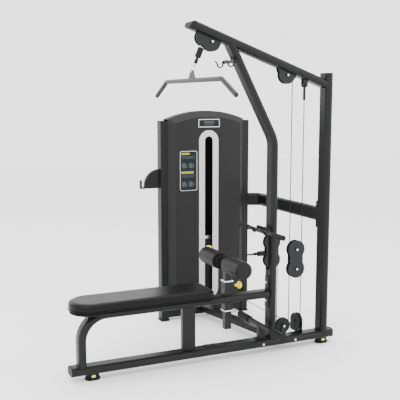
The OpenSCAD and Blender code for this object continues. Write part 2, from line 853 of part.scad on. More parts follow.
// Plate on the tower's left post with a notch for spare handles.
module side_holder() translate([tower_x - tower_w / 2, 0, holder_z]) along_y(tower_y - 12, tower_y + 12) {
    intersection() {
        translate([0, 21]) circle(r = 122);
        translate([-122, 0]) square([122, 143]);
    }
    translate([-154, 0]) square([60, 12]);
    translate([-154, 0]) square([13, 64]);
}

holder_z = 1032;

// ---- cables ----------------------------------------------------------------

lat_out = [lat_axle[0] - pitch_r * cos(lat_lean), lat_axle[1] + pitch_r * sin(lat_lean)];
lat_dir = [-sin(lat_lean), -cos(lat_lean)];
function lat_pt(s) = [lat_out[0] + s * lat_dir[0], lat_out[1] + s * lat_dir[1]];

module lat_line(s0, s1, r) translate([lat_pt(s0)[0], 0, lat_pt(s0)[1]]) rotate([0, 180 + lat_lean, 0])
    cylinder(h = s1 - s0, r = r);

stop_s = 64;
touch_gap = 0.02;

// Cable that stays in the frame: through the boom, down to the anchor, from
// the row guide to the base, and from the base to the top of the tower.
module route_cables() color("#6f7172") place() {
    thin = cable_d - 0.2;
    lat_line(-1, stop_s - touch_gap, cable_d / 2);
    cable_turn(lat_axle[0], lat_axle[1], 90 - boom_angle, 90 + boom_angle - lat_lean, 0, thin);
    in_boom() rod_x(0, 0, cable_d / 2, lat_s - 1, rear_wheel_s + 1);
    cable_turn(rear_axle[0], rear_axle[1], 0, 90 - boom_angle, 0, thin);
    rod_x(0, row_pull_z, cable_d / 2, row_reach + 80, guide_x);
    cable_turn(guide_x, guide_low_z, 0, 90);
    cable_z(guide_x + pitch_r, base_front_z, guide_low_z);
    cable_turn(base_front_x, base_front_z, 180, 180);
    translate([far_fall_x, pitch_r, base_rear_z]) rotate([0, 0, 90]) cable_turn(0, 0, 180, 90);
    translate([far_fall_x, pitch_r, run_z]) rotate([-90, 0, 0]) cylinder(h = tower_base_y - pitch_r, d = cable_d, $fn = 16);
    translate([far_fall_x, tower_base_y, base_rear_z]) rotate([0, 0, 90]) cable_turn(0, 0, 270, 90);
    cable_z(far_fall_x, base_rear_z, drop_z, tower_y);
    cable_turn(side_x, drop_z, 0, 90, tower_y);
    translate([0, tower_y, 0]) rod_x(0, drop_z + pitch_r, cable_d / 2, tower_x + pitch_r, side_x);
    cable_turn(tower_x + pitch_r, drop_z, 90, 90, tower_y);
}

module upper_falls() color("#6f7172") place() {
    cable_z(fall_x, block_high_z, rear_axle[1]);
    cable_z(far_fall_x, block_high_z, anchor_z - 60);
}

module lower_falls() color("#6f7172") place() {
    cable_z(fall_x, base_front_z, block_low_z);
    cable_z(far_fall_x, base_rear_z, block_low_z);
}

module stack_fall() color("#6f7172") place() cable_z(tower_x, stack_high + 60, drop_z, tower_y);

module block_cables() color("#6f7172") place() {
    cable_turn(block_x, block_high_z, 180, 180);
    cable_turn(block_x, block_low_z, 0, 180);
}

// Rubber stop, ferrule and swivel at the end of the lat cable.
module lat_cable_end() color(dark) place() {
    lat_line(stop_s, stop_s + 60, 19);
    lat_line(stop_s + 60, stop_s + 78, 9);
    lat_line(stop_s + 78, stop_s + 100, 11);
}

module in_lat(s) translate([lat_pt(s)[0], 0, lat_pt(s)[1]]) rotate([0, lat_lean, 0]) children();

eye_r = 9;
eye_wire = 3;
link_wire = 3.5;
link_len = 46;
link_top_r = 16;
link_low_r = 12;
tab_t = 5;
tab_hole_r = 8;
tab_top = 12;
eye_s = stop_s + 100 + eye_r + eye_wire + 0.3;
link_top_s = eye_s + eye_r - eye_wire - link_wire - 0.1;
link_low_s = link_top_s + link_len;
lat_x = lat_pt(link_low_s)[0];
tab_hole_z = lat_pt(link_low_s)[1] + 1;

// Eye of the swivel and the pear-shaped snap link that the bar hangs from.
module lat_link() color(silver) place() {
    translate([lat_pt(eye_s)[0], 0, lat_pt(eye_s)[1]]) rotate([0, 90, 0])
        rotate_extrude() translate([eye_r, 0]) circle(r = eye_wire);
    in_lat(link_low_s) {
        link_turn(link_len - link_top_r, link_top_r, 0);
        link_turn(link_low_r, link_low_r, 180);
        side = link_len - link_top_r - link_low_r;
        tilt = atan((link_top_r - link_low_r) / side);
        for (s = [-1, 1]) translate([s * link_low_r, 0, link_low_r]) rotate([0, s * tilt, 0])
            translate([0, 0, -1]) cylinder(h = side / cos(tilt) + 2, r = link_wire + 0.3);
    }
}

module link_turn(z, r, a) translate([0, 0, z]) rotate([90, 0, 0]) rotate([0, 0, a])
    rotate_extrude(angle = 180) translate([r, 0]) circle(r = link_wire);

lat_bend_r = 30;
lat_lap = 2;

// One end of the lat bar past the straight middle: a bend, a hair thinner
// than the bar, and a sloped grip.
module lat_end() translate([0, lat_mid / 2, -lat_bend_r]) rotate([90, 0, 90]) {
    rotate([0, 0, 90 - lat_drop]) rotate_extrude(angle = lat_drop)
        translate([lat_bend_r, 0]) circle(d = lat_d - 1);
    rotate([0, 0, -lat_drop]) translate([-lat_lap, lat_bend_r, 0]) rotate([0, 90, 0])
        cylinder(h = lat_lap + grip_len, d = lat_d);
}

grip_len = (lat_tip_y - lat_mid / 2 - lat_bend_r * sin(lat_drop)) / cos(lat_drop);

// Lat bar with its angled ends and the drilled tab it hangs from.
module lat_bar() color("#4f5050") place() {
    translate([lat_x, 0, lat_z]) {
        rod_y(0, 0, lat_d / 2, -lat_mid / 2 - lat_lap, lat_mid / 2 + lat_lap);
        lat_end();
        mirror([0, 1, 0]) lat_end();
    }
    translate([lat_x - tab_t / 2, 0, 0]) rotate([90, 0, 90]) linear_extrude(tab_t) difference() {
        polygon([[-52, lat_z + 6], [52, lat_z + 6], [20, tab_hole_z + tab_top], [-20, tab_hole_z + tab_top]]);
        translate([0, tab_hole_z]) circle(r = tab_hole_r);
    }
}

module row_cable_end() color(dark) place() {
    rod_x(0, row_pull_z, 17, row_reach + 30, row_reach + 80);
    rod_x(0, row_pull_z, 8, row_reach + 14, row_reach + 30);
    rod_x(0, row_pull_z, 10, row_reach, row_reach + 14);
    row_link();
}

// Snap link that points forwards from the swivel of the row cable.
module row_link() translate([row_reach, 0, row_pull_z]) {
    for (s = [-1, 1]) translate([-10 - 28, s * 9, 0]) rotate([0, 90, 0]) cylinder(h = 28, r = link_wire);
    for (end = [0, 1]) translate([-10 - 28 * end, 0, 0]) rotate([0, 0, end * 180 - 90])
        rotate_extrude(angle = 180) translate([9, 0]) circle(r = link_wire);
}

module row_bar() color(steel) place() rod_y(row_x, row_z, 13, -row_len / 2, row_len / 2);

module row_grips() color(rubber) place() for (s = [-1, 1]) difference() {
    rod_y(row_x, row_z, 17, s > 0 ? row_len / 2 - 125 : -row_len / 2 - 4, s > 0 ? row_len / 2 + 4 : 125 - row_len / 2);
    rod_y(row_x, row_z, 13, -row_len / 2, row_len / 2);
}

base_rail();
bench_tube();
seat_post();
main_upright();
boom();
rear_upright();
crossbar();
floor_beam();
joint_plates();
tube_caps();
foot_pads();
foot_inserts();
frame_bolts();
seat_board();
seat_pad();
post_sleeve();
sleeve_bushings();
pull_pin();
knee_post();
roller_caps();
foam_roller_near();
foam_roller_far();
boom_pulley_plates();
boom_front_pulley();
boom_rear_pulley();
block_plates();
block_upper_pulley();
block_lower_pulley();
guide_block_plates();
guide_upper_pulley();
guide_lower_pulley();
base_brackets();
base_front_pulley();
base_rear_pulley();
foot_bar();
foot_bar_sleeves();
tower_frame();
front_shroud();
rear_shroud();
shroud_trim();
guide_rods();
resting_plates();
lifted_plates();
selector_rod();
selector_pin();
tower_base_pulley();
tower_side_pulley();
tower_drop_pulley();
bar_hooks();
route_cables();
upper_falls();
lower_falls();
stack_fall();
block_cables();
lat_cable_end();
lat_link();
lat_bar();
row_cable_end();
row_bar();
row_grips();
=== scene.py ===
"""Looks of the lat pulldown and seated row machine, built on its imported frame."""

import json
import math

import bmesh
import bpy
import numpy as np
from mathutils import Matrix, Vector


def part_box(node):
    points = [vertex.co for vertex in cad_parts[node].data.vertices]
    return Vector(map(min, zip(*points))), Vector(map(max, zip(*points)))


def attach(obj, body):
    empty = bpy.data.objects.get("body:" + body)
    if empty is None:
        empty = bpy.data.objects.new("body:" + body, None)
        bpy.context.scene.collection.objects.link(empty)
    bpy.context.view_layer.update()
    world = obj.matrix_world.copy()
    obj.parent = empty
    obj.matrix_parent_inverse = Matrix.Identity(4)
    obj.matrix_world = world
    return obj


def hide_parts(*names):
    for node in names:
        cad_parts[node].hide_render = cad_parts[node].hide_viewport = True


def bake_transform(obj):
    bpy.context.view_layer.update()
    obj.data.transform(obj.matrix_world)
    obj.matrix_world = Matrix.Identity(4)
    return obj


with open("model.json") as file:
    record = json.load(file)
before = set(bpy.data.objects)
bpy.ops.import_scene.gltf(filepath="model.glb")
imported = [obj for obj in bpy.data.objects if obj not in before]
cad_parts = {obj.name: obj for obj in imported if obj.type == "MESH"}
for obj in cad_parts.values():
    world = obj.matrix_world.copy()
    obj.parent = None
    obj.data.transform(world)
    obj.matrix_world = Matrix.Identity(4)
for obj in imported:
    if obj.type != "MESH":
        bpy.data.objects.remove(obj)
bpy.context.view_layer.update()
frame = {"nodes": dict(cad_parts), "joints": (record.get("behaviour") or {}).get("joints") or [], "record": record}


# ---- shader helpers ---------------------------------------------------------


def put(tree, slot, value):
    """Fills one input with a number, a tuple or another shader value."""
    if isinstance(value, Shade):
        tree.links.new(value.socket, slot)
    elif isinstance(value, tuple) and len(value) == 3 and slot.type == "RGBA":
        slot.default_value = (*value, 1.0)
    else:
        slot.default_value = value


class Shade:
    """One shader value. Python arithmetic on it adds Math nodes."""

    def __init__(self, tree, socket):
        self.tree, self.socket = tree, socket

    def math(self, operation, *values):
        n = self.tree.nodes.new("ShaderNodeMath")
        n.operation = operation
        for slot, value in zip(n.inputs, values):
            put(self.tree, slot, value)
        return Shade(self.tree, n.outputs[0])

    def __add__(self, o):
        return self.math("ADD", self, o)

    def __radd__(self, o):
        return self.math("ADD", o, self)

    def __sub__(self, o):
        return self.math("SUBTRACT", self, o)

    def __rsub__(self, o):
        return self.math("SUBTRACT", o, self)

    def __mul__(self, o):
        return self.math("MULTIPLY", self, o)

    def __rmul__(self, o):
        return self.math("MULTIPLY", o, self)

    def sin(self):
        return self.math("SINE", self)

    def least(self, o):
        return self.math("MINIMUM", self, o)


class Finish:
    """A node-based material with one Principled shader."""

    def __init__(self, name, **fixed):
        self.material = bpy.data.materials.new(name)
        self.material.use_nodes = True
        self.tree = self.material.node_tree
        self.shader = self.tree.nodes["Principled BSDF"]
        self.point = self.node("ShaderNodeTexCoord", "Object")
        for socket, value in fixed.items():
            self.set(socket.replace("_", " "), value)

    def set(self, socket, value):
        put(self.tree, self.shader.inputs[socket], value)

    def node(self, kind, output, inputs=(), **settings):
        """Adds one node, fills its inputs and returns the named output."""
        n = self.tree.nodes.new(kind)
        for key, value in settings.items():
            setattr(n, key, value)
        for key, value in dict(inputs).items():
            put(self.tree, n.inputs[key], value)
        return Shade(self.tree, n.outputs[output])

    def noise(self, scale, detail=3.0, rough=0.5, stretch=(1.0, 1.0, 1.0)):
        where = self.node("ShaderNodeMapping", "Vector", {"Vector": self.point, "Scale": stretch})
        return self.node("ShaderNodeTexNoise", "Fac",
                         {"Vector": where, "Scale": scale, "Detail": detail, "Roughness": rough})

    def cells(self, scale, feature="F1", output="Distance"):
        return self.node("ShaderNodeTexVoronoi", output, {"Vector": self.point, "Scale": scale},
                         feature=feature)

    def tone(self, low, high, amount):
        """Base colour that runs from low to high with amount."""
        mixed = self.node("ShaderNodeMix", 2, {0: amount, 6: low, 7: high}, data_type="RGBA")
        self.set("Base Color", mixed)

    def bump(self, height, strength, distance):
        self.set("Normal", self.node("ShaderNodeBump", "Normal",
                                     {"Height": height, "Strength": strength, "Distance": distance}))


def shades(rgb, spread):
    """The colour made darker and lighter by a share."""
    return tuple(c * (1 - spread) for c in rgb), tuple(min(1.0, c * (1 + spread)) for c in rgb)


def powder(name, rgb, rough=0.42, grain=1100.0, coat=0.05):
    """Powder coat: orange-peel grain, slow changes of tone and gloss."""
    f = Finish(name, Coat_Roughness=0.3, Coat_Weight=coat, Specular_IOR_Level=0.17)
    slow, fine = f.noise(3.1, 4), f.noise(grain, 2)
    low, high = shades(rgb, 0.10)
    f.tone(low, high, slow * 0.7 + fine * 0.3)
    f.set("Roughness", rough - 0.05 + slow * 0.10)
    f.bump(fine, 0.22, 0.0006)
    return f.material


def metal(name, rgb, rough, stretch, scale=90.0, shine=1.0):
    """Bare or plated steel with drawn lines along one direction."""
    f = Finish(name, Metallic=shine)
    lines, slow = f.noise(scale, 4, 0.6, stretch), f.noise(7.0)
    low, high = shades(rgb, 0.07)
    f.tone(low, high, lines)
    f.set("Roughness", rough + lines * 0.10 + slow * 0.05)
    f.bump(lines, 0.10, 0.0004)
    return f.material


def plastic(name, rgb, rough=0.45, grain=1500.0, strength=0.15):
    """Moulded plastic with a fine spark-eroded grain."""
    f = Finish(name, Specular_IOR_Level=0.16)
    slow, fine = f.noise(12.0), f.noise(grain, 2)
    low, high = shades(rgb, 0.08)
    f.tone(low, high, slow)
    f.set("Roughness", rough + slow * 0.08)
    f.bump(fine, strength, 0.0005)
    return f.material


def foam_skin(name, rgb, rough=0.62):
    """Closed-cell foam or rubber: pocked skin and a soft sheen."""
    f = Finish(name, Specular_IOR_Level=0.11)
    pocks, fine, slow = f.cells(650.0), f.noise(1400.0, 2), f.noise(9.0)
    low, high = shades(rgb, 0.12)
    f.tone(low, high, slow * 0.6 + fine * 0.4)
    f.set("Roughness", rough + slow * 0.08)
    f.bump(pocks * 0.6 + fine * 0.4, 0.25, 0.0007)
    return f.material


def hide(name, rgb):
    """Upholstery: leather cells between shallow creases."""
    f = Finish(name, Specular_IOR_Level=0.12)
    cell = f.cells(420.0, "DISTANCE_TO_EDGE")
    crease, slow = f.noise(55.0, 5, 0.62), f.noise(6.0)
    low, high = shades(rgb, 0.16)
    f.tone(low, high, slow * 0.5 + crease * 0.5)
    f.set("Roughness", 0.30 + slow * 0.08)
    f.bump((cell * 5.0).least(1.0) * 0.8 + crease * 0.2, 0.14, 0.0005)
    return f.material


def strand(name, rgb):
    """Steel cable: strand lines that wind along the length, bumped, with painted shade in the grooves between
    strands and a painted highlight on their crests.
    """
    f = Finish(name, Metallic=0.1, Specular_IOR_Level=0.10)
    axes = f.tree.nodes.new("ShaderNodeSeparateXYZ")
    f.tree.links.new(f.point.socket, axes.inputs[0])
    x, y, z = (Shade(f.tree, o) for o in axes.outputs)
    strand_lines_and_shade = (x * 2600.0 + y * 2600.0 + z * 1500.0).sin() * 0.5 + 0.5
    low, high = shades(rgb, 0.30)
    # painted shade and highlight: the colour darkens in the grooves between strands and lightens on the strand
    # crests
    f.tone(low, high, strand_lines_and_shade)
    f.set("Roughness", 0.34 + strand_lines_and_shade * 0.14)
    f.bump(strand_lines_and_shade, 0.2, 0.0003)
    return f.material


CHARCOAL, GRAPHITE, INK = (0.0045, 0.0047, 0.0049), (0.011, 0.011, 0.0113), (0.005, 0.0052, 0.0055)
frame_paint = powder("charcoal_coat", CHARCOAL)
dark_paint = powder("black_coat", (0.009, 0.0095, 0.010), 0.45)
shroud_paint = powder("graphite_coat", GRAPHITE, 0.5, 1300.0, 0.0)
bar_paint = powder("bar_coat", (0.014, 0.0143, 0.0146), 0.36)
trim_metal = metal("silver_trim", (0.50, 0.50, 0.50), 0.34, (30.0, 30.0, 1.0), 60.0, 0.5)
bright_metal = metal("bright_steel", (0.66, 0.67, 0.68), 0.22, (1.0, 1.0, 12.0))
iron = powder("iron_enamel", (0.007, 0.007, 0.0075), 0.5, 700.0, 0.05)
nylon = plastic("black_nylon", INK, 0.42)
cap_plastic = plastic("cap_plastic", (0.006, 0.006, 0.0065), 0.5, 900.0, 0.3)
board_plastic = plastic("board_plastic", (0.006, 0.006, 0.0065), 0.6)
rubber = foam_skin("black_rubber", (0.008, 0.008, 0.0085), 0.58)
foam = foam_skin("roller_foam", (0.004, 0.004, 0.0043), 0.4)
leather = hide("bench_leather", (0.0028, 0.0028, 0.003))
yellow = plastic("yellow_plastic", (0.80, 0.72, 0.001), 0.32)
pale_yellow = plastic("pale_yellow", (0.74, 0.80, 0.20), 0.4)
white_nylon = plastic("white_nylon", (0.78, 0.78, 0.75), 0.45)
cable_steel = strand("cable_steel", (0.010, 0.0105, 0.011))

BY_SLOT = {
    "frame_paint": frame_paint, "dark_paint": dark_paint, "shroud": shroud_paint,
    "trim": trim_metal, "bright": bright_metal, "iron": iron, "wheel": nylon,
    "cap": cap_plastic, "rubber": rubber, "pad": leather, "foam": foam, "yellow": yellow,
    "insert": pale_yellow, "bushing": white_nylon, "cable": cable_steel, "bar": bar_paint,
    "board": board_plastic,
}
for part in frame["record"]["subparts"]:
    mesh = frame["nodes"][part["node"]].data
    mesh.materials.clear()
    mesh.materials.append(BY_SLOT[part["material_slot"]])


# ---- mesh helpers -------------------------------------------------------------


def piece(name, verts, faces, material, body=None, smooth=True):
    """A mesh from points and faces, with its normals outwards, on a body."""
    mesh = bpy.data.meshes.new(name)
    mesh.from_pydata([tuple(map(float, v)) for v in verts], [], [tuple(map(int, f)) for f in faces])
    tidy = bmesh.new()
    tidy.from_mesh(mesh)
    bmesh.ops.remove_doubles(tidy, verts=tidy.verts, dist=1e-7)
    bmesh.ops.recalc_face_normals(tidy, faces=tidy.faces)
    tidy.to_mesh(mesh)
    tidy.free()
    mesh.materials.append(material)
    mesh.polygons.foreach_set("use_smooth", [smooth] * len(mesh.polygons))
    obj = bpy.data.objects.new(name, mesh)
    bpy.context.scene.collection.objects.link(obj)
    if body:
        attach(obj, body)
    return obj


def grid_faces(rows, columns, offset=0):
    """Quads of rows of closed rings, joined ring to ring."""
    r, c = np.meshgrid(np.arange(rows - 1), np.arange(columns), indexing="ij")
    a = r * columns + c
    b = r * columns + (c + 1) % columns
    return (np.stack([a, b, b + columns, a + columns], -1).reshape(-1, 4) + offset).tolist()


def tube(path, radius, sides=14):
    """Rings of a given radius swept along a path of points, closed at the ends.
    Each ring lies across the local direction; its axes are carried from the last."""
    path = np.asarray(path, float)
    radius = np.broadcast_to(np.asarray(radius, float), (len(path),))
    along = np.gradient(path, axis=0)
    along /= np.linalg.norm(along, axis=1)[:, None]
    side = np.cross(along[0], (0.31, 0.74, 0.59))
    turn = np.linspace(0, 2 * np.pi, sides, endpoint=False)
    rings = []
    for point, way, r in zip(path, along, radius):
        side = side - way * (side @ way)
        side /= np.linalg.norm(side)
        other = np.cross(way, side)
        rings.append(point + r * (np.cos(turn)[:, None] * side + np.sin(turn)[:, None] * other))
    verts = np.concatenate(rings)
    faces = grid_faces(len(path), sides)
    last = (len(path) - 1) * sides
    return verts, faces + [list(range(sides)), list(range(last, last + sides))]


def merged(parts):
    """Several (points, faces) lists as one."""
    verts, faces = [], []
    for v, f in parts:
        faces += [[i + len(verts) for i in one] for one in f]
        verts += [tuple(p) for p in v]
    return verts, faces


def lathe(profile, centre, axis, sides=64):
    """A profile of (distance along the axis, radius) points turned about it."""
    axis = np.asarray(axis, float)
    side = np.cross(axis, (0.0, 0.0, 1.0) if abs(axis[2]) < 0.9 else (1.0, 0.0, 0.0))
    side /= np.linalg.norm(side)
    other = np.cross(axis, side)
    turn = np.linspace(0, 2 * np.pi, sides, endpoint=False)
    ring = np.cos(turn)[:, None] * side + np.sin(turn)[:, None] * other
    verts = np.concatenate([np.asarray(centre) + d * axis + r * ring for d, r in profile])
    last = (len(profile) - 1) * sides
    return verts, grid_faces(len(profile), sides) + [list(range(sides)), list(range(last, last + sides))]


def slab(outline, y0, y1, inset=0.0):
    """A prism over an XZ outline from y0 to y1, its front edge drawn in by inset."""
    outline = np.asarray(outline, float)
    middle = outline.mean(0)
    size = np.abs(outline - middle).max(0)
    inner = middle + (outline - middle) * (1 - inset / size)
    rows = [(inner, y0), (outline, y0 + inset), (outline, y1)]
    verts = [(x, y, z) for ring, y in rows for x, z in ring]
    n = len(outline)
    return verts, grid_faces(3, n) + [list(range(n)), list(range(2 * n, 3 * n))]


def rounded_box(x0, x1, z0, z1, r, steps=6):
    """Outline of a rectangle with round corners in the XZ plane."""
    points = []
    corners = [(x1 - r, z1 - r, 0), (x0 + r, z1 - r, 90), (x0 + r, z0 + r, 180), (x1 - r, z0 + r, 270)]
    for cx, cz, start in corners:
        for a in np.radians(np.linspace(start, start + 90, steps)):
            points.append((cx + r * math.cos(a), cz + r * math.sin(a)))
    return points


# ---- bench pad ------------------------------------------------------------------


def swell(obj, pressure, cap, voxel, frames=20):
    """Runs the cloth simulation on a closed mesh, limits how far each point has
    moved to cap, and keeps the result as the mesh."""
    remesh = obj.modifiers.new("remesh", "REMESH")
    remesh.mode, remesh.voxel_size = "VOXEL", voxel
    apply_modifiers(obj)
    before = points_of(obj)
    cloth = obj.modifiers.new("cloth", "CLOTH")
    cloth.settings.use_pressure = True
    cloth.settings.uniform_pressure_force = pressure
    cloth.settings.effector_weights.gravity = 0.0
    cloth.settings.tension_stiffness = cloth.settings.compression_stiffness = 18.0
    cloth.settings.bending_stiffness = 1.2
    cloth.collision_settings.use_self_collision = False
    scene = bpy.context.scene
    for number in range(1, frames + 1):
        scene.frame_set(number)
    after = evaluated_points(obj)
    obj.modifiers.clear()
    moved = after - before
    far = np.linalg.norm(moved, axis=1, keepdims=True)
    moved *= np.minimum(1.0, cap / np.maximum(far, 1e-9))
    set_points(obj, before + moved)
    scene.frame_set(1)


def apply_modifiers(obj):
    graph = bpy.context.evaluated_depsgraph_get()
    made = bpy.data.meshes.new_from_object(obj.evaluated_get(graph))
    obj.modifiers.clear()
    obj.data = made


def points_of(obj):
    co = np.empty(len(obj.data.vertices) * 3, np.float32)
    obj.data.vertices.foreach_get("co", co)
    return co.reshape(-1, 3).astype(float)


def evaluated_points(obj):
    shape = obj.evaluated_get(bpy.context.evaluated_depsgraph_get()).data
    co = np.empty(len(shape.vertices) * 3, np.float32)
    shape.vertices.foreach_get("co", co)
    return co.reshape(-1, 3).astype(float)


def set_points(obj, co):
    obj.data.vertices.foreach_set("co", co.astype(np.float32).ravel())
    obj.data.update()


def bench_outline(low, high, inset, steps=18):
    """Plan of the bench: a half round front and two rounded rear corners."""
    x0, x1 = low.x + inset, high.x - inset
    y0, y1 = low.y + inset, high.y - inset
    half, middle, corner = (y1 - y0) / 2, (y0 + y1) / 2, 0.055 - inset
    front = [(x0 + half - half * math.cos(a), middle + half * math.sin(a))
             for a in np.linspace(-math.pi / 2, math.pi / 2, 2 * steps)]
    rear_far = [(x1 - corner + corner * math.sin(a), y1 - corner + corner * math.cos(a))
                for a in np.linspace(0, math.pi / 2, steps)]
    rear_near = [(x1 - corner + corner * math.cos(a), y0 + corner - corner * math.sin(a))
                 for a in np.linspace(0, math.pi / 2, steps)]
    return front + rear_far + rear_near


def bench_pad():
    """The bench pad: its outline stacked from a flat base to a rounded top edge,
    swelled as stuffed leather, pressed flat under its base, then piped."""
    low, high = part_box("seat_pad")
    base, top = low.z, high.z
    levels = [(0.004, base + 0.001), (0.003, base + 0.006), (0.003, top - 0.020)]
    levels += [(0.003 + 0.014 * (1 - math.cos(a)), top - 0.020 + 0.016 * math.sin(a))
               for a in np.linspace(0.2, math.pi / 2, 6)]
    rings = [[(x, y, z) for x, y in bench_outline(low, high, inset)] for inset, z in levels]
    middle = ((low.x + high.x) / 2, (low.y + high.y) / 2)
    for share, z in [(0.85, top - 0.0032), (0.65, top - 0.0026)]:
        rings.append([(middle[0] + (x - middle[0]) * share, middle[1] + (y - middle[1]) * share, z)
                      for x, y, _ in rings[-1]])
    count = len(rings[0])
    verts = [v for ring in rings for v in ring]
    faces = grid_faces(len(rings), count)
    faces += [list(range(count)), list(range((len(rings) - 1) * count, len(rings) * count))]
    pad = piece("bench_pad", verts, faces, leather)
    swell(pad, 4.0, 0.005, 0.006)
    co = points_of(pad)
    co[:, 2] = np.clip(co[:, 2], base, top)
    co[:, 0] = np.clip(co[:, 0], low.x, high.x)
    co[:, 1] = np.clip(co[:, 1], low.y, high.y)
    set_points(pad, co)
    smooth = pad.modifiers.new("smooth", "SMOOTH")
    smooth.factor, smooth.iterations = 0.5, 24
    round_off = pad.modifiers.new("round", "SUBSURF")
    round_off.levels = round_off.render_levels = 1
    apply_modifiers(pad)
    pad.data.materials.clear()
    pad.data.materials.append(leather)
    pad.data.polygons.foreach_set("use_smooth", [True] * len(pad.data.polygons))
    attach(pad, "frame")
    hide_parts("seat_pad")
    seam = bench_outline(low, high, 0.0052)
    seam = [(x, y, base + 0.013) for x, y in seam]
    verts, faces = tube(np.array(seam + seam[:1]), 0.0026, 10)
    piping = piece("bench_piping", verts, faces, leather, "frame")


bench_pad()


# ---- foam rollers -----------------------------------------------------------------


def roller(name, node, body):
    """A foam sleeve: a slightly barrelled cylinder with soft rolled ends."""
    low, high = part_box(node)
    r = (high.z - low.z) / 2
    centre = ((low.x + high.x) / 2, low.y, (low.z + high.z) / 2)
    length, edge = high.y - low.y, 0.009
    profile = [(0.0, r - edge - 0.002)]
    profile += [(edge * (1 - math.cos(a)), r - edge + edge * math.sin(a) - 0.0012)
                for a in np.linspace(0.15, math.pi / 2, 8)]
    for t in np.linspace(0.08, 0.92, 15):
        profile.append((t * length, r - 0.0012 + 0.0012 * math.sin(math.pi * t)))
    profile += [(length - edge * (1 - math.cos(a)), r - edge + edge * math.sin(a) - 0.0012)
                for a in np.linspace(math.pi / 2, 0.15, 8)]
    profile.append((length, r - edge - 0.002))
    verts, faces = lathe(profile, centre, (0, 1, 0), 96)
    foam_piece = piece(name, verts, faces, foam, body)
    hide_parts(node)


roller("roller_sleeve_near", "foam_roller_near", "near_roller")
roller("roller_sleeve_far", "foam_roller_far", "far_roller")


# ---- cables --------------------------------------------------------------------------


def run_cable(name, lines, hidden=()):
    """Straight cable between two bodies, made of many short rings."""
    parts = []
    for a, b in lines:
        a, b = np.array(a, float), np.array(b, float)
        steps = np.linspace(0, 1, 120)[:, None]
        parts.append(tube(a + (b - a) * steps, 0.00305, 14))
    verts, faces = merged(parts)
    cable = piece(name, verts, faces, cable_steel)
    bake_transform(cable)
    if hidden:
        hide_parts(*hidden)


def falls(node):
    """The centre lines of the vertical cables in a node, left then right."""
    low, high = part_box(node)
    y = (low.y + high.y) / 2
    co = np.array([v.co for v in frame["nodes"][node].data.vertices])
    found = []
    for x in sorted({round(low.x + 0.003, 4), round(high.x - 0.003, 4)}):
        near = co[np.abs(co[:, 0] - x) < 0.0045]
        found.append(((x, y, near[:, 2].min()), (x, y, near[:, 2].max())))
    return found


upper, lower, stack_line = falls("upper_falls"), falls("lower_falls"), falls("stack_fall")
run_cable("upper_cables", upper, ["upper_falls"])
run_cable("lower_cables", lower, ["lower_falls"])
run_cable("stack_cable", stack_line, ["stack_fall"])

joints = {j["name"]: j for j in frame["joints"]}
lat_way = np.array(joints["lat_pull"]["axis"])
lat_eye = np.array(joints["lat_bar_turn"]["pos_m"])
LAT_REACH = 0.1763
LAT_SHOWN = 0.064
OVERLAP = 0.001
lat_exit = lat_eye - lat_way * LAT_REACH
lat_stop = lat_exit + lat_way * LAT_SHOWN
run_cable("lat_cable", [(lat_exit, lat_stop + lat_way * OVERLAP)])
row_low, row_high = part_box("row_cable_end")
row_axis = np.array([0, (row_low.y + row_high.y) / 2, (row_low.z + row_high.z) / 2])
row_stop = row_axis + (row_high.x, 0, 0)
row_guide = row_axis + (joints["guide_lower_spin"]["pos_m"][0], 0, 0)
row_tip = row_stop - np.array([OVERLAP, 0, 0])
run_cable("row_cable", [(row_guide, row_tip)])


# ---- plates on the shroud ------------------------------------------------------------

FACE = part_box("shroud_trim")[0].y
TX = (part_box("guide_rods")[0].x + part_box("guide_rods")[1].x) / 2
ink = plastic("plate_ink", (0.005, 0.008, 0.010), 0.35, 1800.0, 0.05)
mark_grey = plastic("plate_grey", (0.045, 0.055, 0.062), 0.4, 1800.0, 0.05)
mark_yellow = plastic("plate_yellow", (0.26, 0.27, 0.006), 0.4, 1800.0, 0.05)


def plate(name, x0, x1, z0, z1, r, depth, material):
    """A thin round-cornered plate proud of the trim's face."""
    outline = rounded_box(TX + x0, TX + x1, z0, z1, r)
    verts, faces = slab(outline, FACE - depth, FACE + 0.0005, 0.0002)
    return piece(name, verts, faces, material, "frame", smooth=False)


def stripes(name, boxes, material, depth=0.0012):
    """Flat bars and blocks that stand for print, as one piece."""
    parts = []
    for x0, x1, z0, z1 in boxes:
        outline = rounded_box(TX + x0, TX + x1, z0, z1, min(x1 - x0, z1 - z0) * 0.3, 3)
        parts.append(slab(outline, FACE - depth, FACE - 0.0003, 0.0001))
    verts, faces = merged(parts)
    return piece(name, verts, faces, material, "frame", smooth=False)


plate("name_face", -0.081, 0.085, 1.491, 1.541, 0.004, 0.0008, ink)
stripes("name_bars", [(-0.040, 0.044, 1.513, 1.531), (-0.034, 0.038, 1.499, 1.505)], mark_grey)
plate("user_face", -0.234, -0.102, 1.014, 1.306, 0.011, 0.0008, ink)
stripes("user_headings", [(-0.228, -0.160, 1.282, 1.297), (-0.230, -0.128, 1.140, 1.157)], mark_yellow)
heights = (1.268, 1.260, 1.252, 1.128, 1.120, 1.112)
lines = [(-0.226, -0.116 - 0.012 * (i % 2), z, z + 0.0035) for i, z in enumerate(heights)]
lines += [(x, x + 0.030, z, z + 0.040) for z in (1.180, 1.040) for x in (-0.222, -0.166)]
lines += [(x + 0.034, x + 0.042, z + 0.004, z + 0.030) for z in (1.180, 1.040) for x in (-0.222, -0.166)]
stripes("user_lines", lines, mark_grey)


# ---- small fittings -----------------------------------------------------------------


def cap_screw(name, centre, axis, r, height, body, material):
    """A domed button screw with a dished socket, turned about its axis."""
    profile = [(-0.001, r * 0.92), (0.0, r), (height * 0.45, r), (height * 0.8, r * 0.86),
               (height, r * 0.60), (height, r * 0.36), (height * 0.45, r * 0.32), (height * 0.42, r * 0.01)]
    verts, faces = lathe(profile, centre, axis, 28)
    piece(name, verts, faces, material, body)


